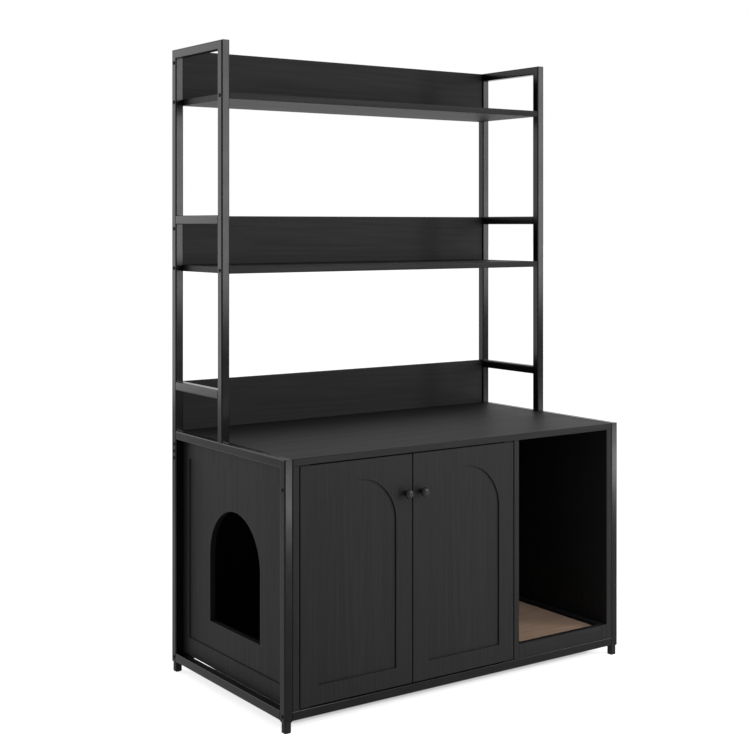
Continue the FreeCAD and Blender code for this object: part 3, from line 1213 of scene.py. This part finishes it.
def board_finish(name: str, grain: Grain) -> bpy.types.Material:
    """Decor finish of one board, with the heart of its trunk behind the board's middle.

    Args:
        name: name of the CAD node.
        grain: direction of the grain.

    Returns:
        The material.
    """
    low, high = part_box(name)
    heart = (low + high) / 2
    thin = min(range(3), key=lambda axis: high[axis] - low[axis])
    heart[thin] += BlackBoard.heart_depth
    return BlackBoard(name=f"{name}_decor", grain=grain, heart=tuple(heart)).material()


# ---- Studio -------------------------------------------------------------------------------------


@dataclass(frozen=True)
class Softbox:
    """Large flat lamp that stands outside the picture."""

    name: str
    centre: Point
    target: Point
    width: float
    height: float
    radiance: float

    def light(self) -> None:
        """Adds the lamp to the scene."""
        lamp = bpy.data.lights.new(self.name, "AREA")
        lamp.shape = "RECTANGLE"
        lamp.size = self.width
        lamp.size_y = self.height
        lamp.energy = self.radiance * LAMP_WATTS * self.width * self.height
        holder = bpy.data.objects.new(self.name, lamp)
        holder.location = self.centre
        holder.rotation_euler = (Vector(self.target) - Vector(self.centre)).to_track_quat("-Z", "Y").to_euler()
        holder.visible_camera = False
        bpy.context.scene.collection.objects.link(holder)
        LOG.info("lamp %s", self.name)


@dataclass
class Studio:
    """Pale floor, white surroundings, soft lamps and the camera."""

    floor_half: float = 60.0
    floor_tone: Colour = (0.80, 0.80, 0.80)
    floor_glow: float = 0.78
    # Patch of painted shade, drawn dark on the floor within the cabinet's footprint
    painted_shade_centre: tuple[float, float] = (0.0, 0.03)
    painted_shade_half: tuple[float, float] = (0.54, 0.28)
    painted_shade_blur: tuple[float, float] = (0.025, 0.05)
    painted_shade_depth: float = 0.97
    painted_shade_tone: Colour = (0.02, 0.02, 0.02)
    ambient: float = 0.39
    lens: float = 67.17
    film_width: float = 36.0
    sight_range: float = 200.0
    camera_at: Point = (-2.4260, -3.3325, 1.2943)
    camera_heading: float = -34.94
    horizon_shift: float = -0.2003

    def seen(self, sheet: NodeSheet) -> bpy.types.NodeSocket:
        """Tells the rays that see the surroundings from those that only carry their light.

        Args:
            sheet: node sheet to work on.

        Returns:
            The value socket: 1 for rays from the camera, from gloss and from glass, and 0 for others.
        """
        path = sheet.add("ShaderNodeLightPath")
        total = path.outputs["Is Camera Ray"]
        for name in ("Is Glossy Ray", "Is Transmission Ray"):
            total = sheet.combine("MAXIMUM", total, path.outputs[name])
        return total

    def shade(self, sheet: NodeSheet) -> bpy.types.NodeSocket:
        """Painted shade: a dark patch drawn on the floor within the cabinet's footprint.

        Args:
            sheet: node sheet of the floor.

        Returns:
            The value socket: near 1 on the patch and 0 elsewhere.
        """
        parts = sheet.add("ShaderNodeSeparateXYZ")
        sheet.join(sheet.add("ShaderNodeTexCoord").outputs["Object"], parts.inputs[0])
        shares = []
        for axis, depth in enumerate((1.0, self.painted_shade_depth)):
            away = sheet.combine("SUBTRACT", parts.outputs[axis], self.painted_shade_centre[axis])
            half = self.painted_shade_half[axis]
            shares.append(
                sheet.spread(sheet.combine("ABSOLUTE", away, 0.0), depth, 0.0, half - self.painted_shade_blur[axis], half)
            )
        return sheet.combine("MULTIPLY", *shares)

    def floor_material(self) -> bpy.types.Material:
        """Pale matt floor that shows white round the soft shadow, with painted shade drawn dark under the cabinet.

        Returns:
            The material.
        """
        material = bpy.data.materials.new("pale_studio_floor")
        material.use_nodes = True
        sheet = NodeSheet(material.node_tree)
        matt = sheet.add("ShaderNodeBsdfDiffuse")
        matt.inputs["Color"].default_value = (*self.floor_tone, 1)
        glow = sheet.add("ShaderNodeEmission")
        glow.inputs["Color"].default_value = (1, 1, 1, 1)
        glow.inputs["Strength"].default_value = self.floor_glow
        # painted shade: near-black matt floor drawn within the cabinet's footprint
        dark = sheet.add("ShaderNodeBsdfDiffuse")
        dark.inputs["Color"].default_value = (*self.painted_shade_tone, 1)
        both = sheet.add("ShaderNodeAddShader")
        sheet.join(matt.outputs[0], both.inputs[0])
        sheet.join(glow.outputs[0], both.inputs[1])
        lit = sheet.mix(self.seen(sheet), matt.outputs[0], both.outputs[0])
        # the patch of painted shade replaces the lit floor under the cabinet
        surface = sheet.mix(self.shade(sheet), lit, dark.outputs[0])
        sheet.join(surface, sheet.add("ShaderNodeOutputMaterial").inputs["Surface"])
        return material

    def lay_floor(self) -> None:
        """Adds the floor."""
        form = bmesh.new()
        half = self.floor_half
        ends = ((-1, -1), (1, -1), (1, 1), (-1, 1))
        form.faces.new([form.verts.new((x * half, y * half, 0)) for x, y in ends])
        mesh = bpy.data.meshes.new("studio_floor")
        form.to_mesh(mesh)
        form.free()
        mesh.materials.append(self.floor_material())
        floor = bpy.data.objects.new("studio_floor", mesh)
        bpy.context.scene.collection.objects.link(floor)

    def set_world(self) -> None:
        """White surroundings for the eye and a plain grey level for the light."""
        world = bpy.data.worlds.new("studio_world")
        bpy.context.scene.world = world
        world.use_nodes = True
        sheet = NodeSheet(world.node_tree)
        levels = []
        for strength in (self.ambient, 1.0):
            level = sheet.add("ShaderNodeBackground")
            level.inputs["Color"].default_value = (1, 1, 1, 1)
            level.inputs["Strength"].default_value = strength
            levels.append(level.outputs[0])
        surface = sheet.mix(self.seen(sheet), *levels)
        sheet.join(surface, sheet.add("ShaderNodeOutputWorld").inputs["Surface"])

    def softboxes(self) -> list[Softbox]:
        """Lamps of the studio.

        Returns:
            The lamps: narrow ones that mirror in the posts and wide ones for all the rest.
        """
        return [
            Softbox("front_strip_box", (0.58, -2.05, 1.60), (-0.57, -0.1, 1.3), 0.45, 1.4, 10.0),
            Softbox("side_strip_box", (2.34, -1.95, 1.60), (0.57, -0.1, 1.3), 0.45, 1.4, 9.5),
            Softbox("low_front_box", (0.51, -2.05, 0.20), (-0.57, -0.3, 0.55), 0.34, 0.3, 10.0),
            Softbox("low_side_box", (2.21, -1.95, 0.20), (0.57, -0.3, 0.55), 0.34, 0.3, 11.5),
            Softbox("front_fill_softbox", (1.45, -2.4, 1.5), (0.0, 0.2, 1.3), 1.6, 1.3, 1.5),
            Softbox("rear_left_softbox", (-1.7, 2.3, 1.45), (-0.3, 0.0, 1.3), 1.6, 1.9, 1.75),
        ]

    def set_camera(self) -> None:
        """Level camera at the photograph's place, with a vertical shift for its framing."""
        camera = bpy.data.cameras.new("studio_camera")
        camera.lens = self.lens
        camera.sensor_width = self.film_width
        camera.shift_y = self.horizon_shift
        camera.clip_end = self.sight_range
        holder = bpy.data.objects.new("studio_camera", camera)
        holder.location = self.camera_at
        holder.rotation_euler = (math.radians(90), 0, math.radians(self.camera_heading))
        bpy.context.scene.collection.objects.link(holder)
        bpy.context.scene.camera = holder

    def build(self) -> None:
        """Sets up the floor, the surroundings, the lamps and the camera."""
        bpy.context.scene.view_settings.view_transform = "Standard"
        self.lay_floor()
        self.set_world()
        for softbox in self.softboxes():
            softbox.light()
        self.set_camera()


def main() -> None:
    """Loads the frame and builds each sub-assembly and the studio."""
    logging.basicConfig(level=logging.INFO, format="%(message)s")
    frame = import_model()
    work = SubAssembly(frame["nodes"])
    for assembly in (
        SteelFrame(work),
        PlasticParts(work),
        CabinetPanels(work),
        Hutch(work),
        DoorPair(work),
        MagneticCatch(work),
        ScratchingBay(work),
    ):
        assembly.build()
    Studio().build()


if __name__ == "__main__":
    main()
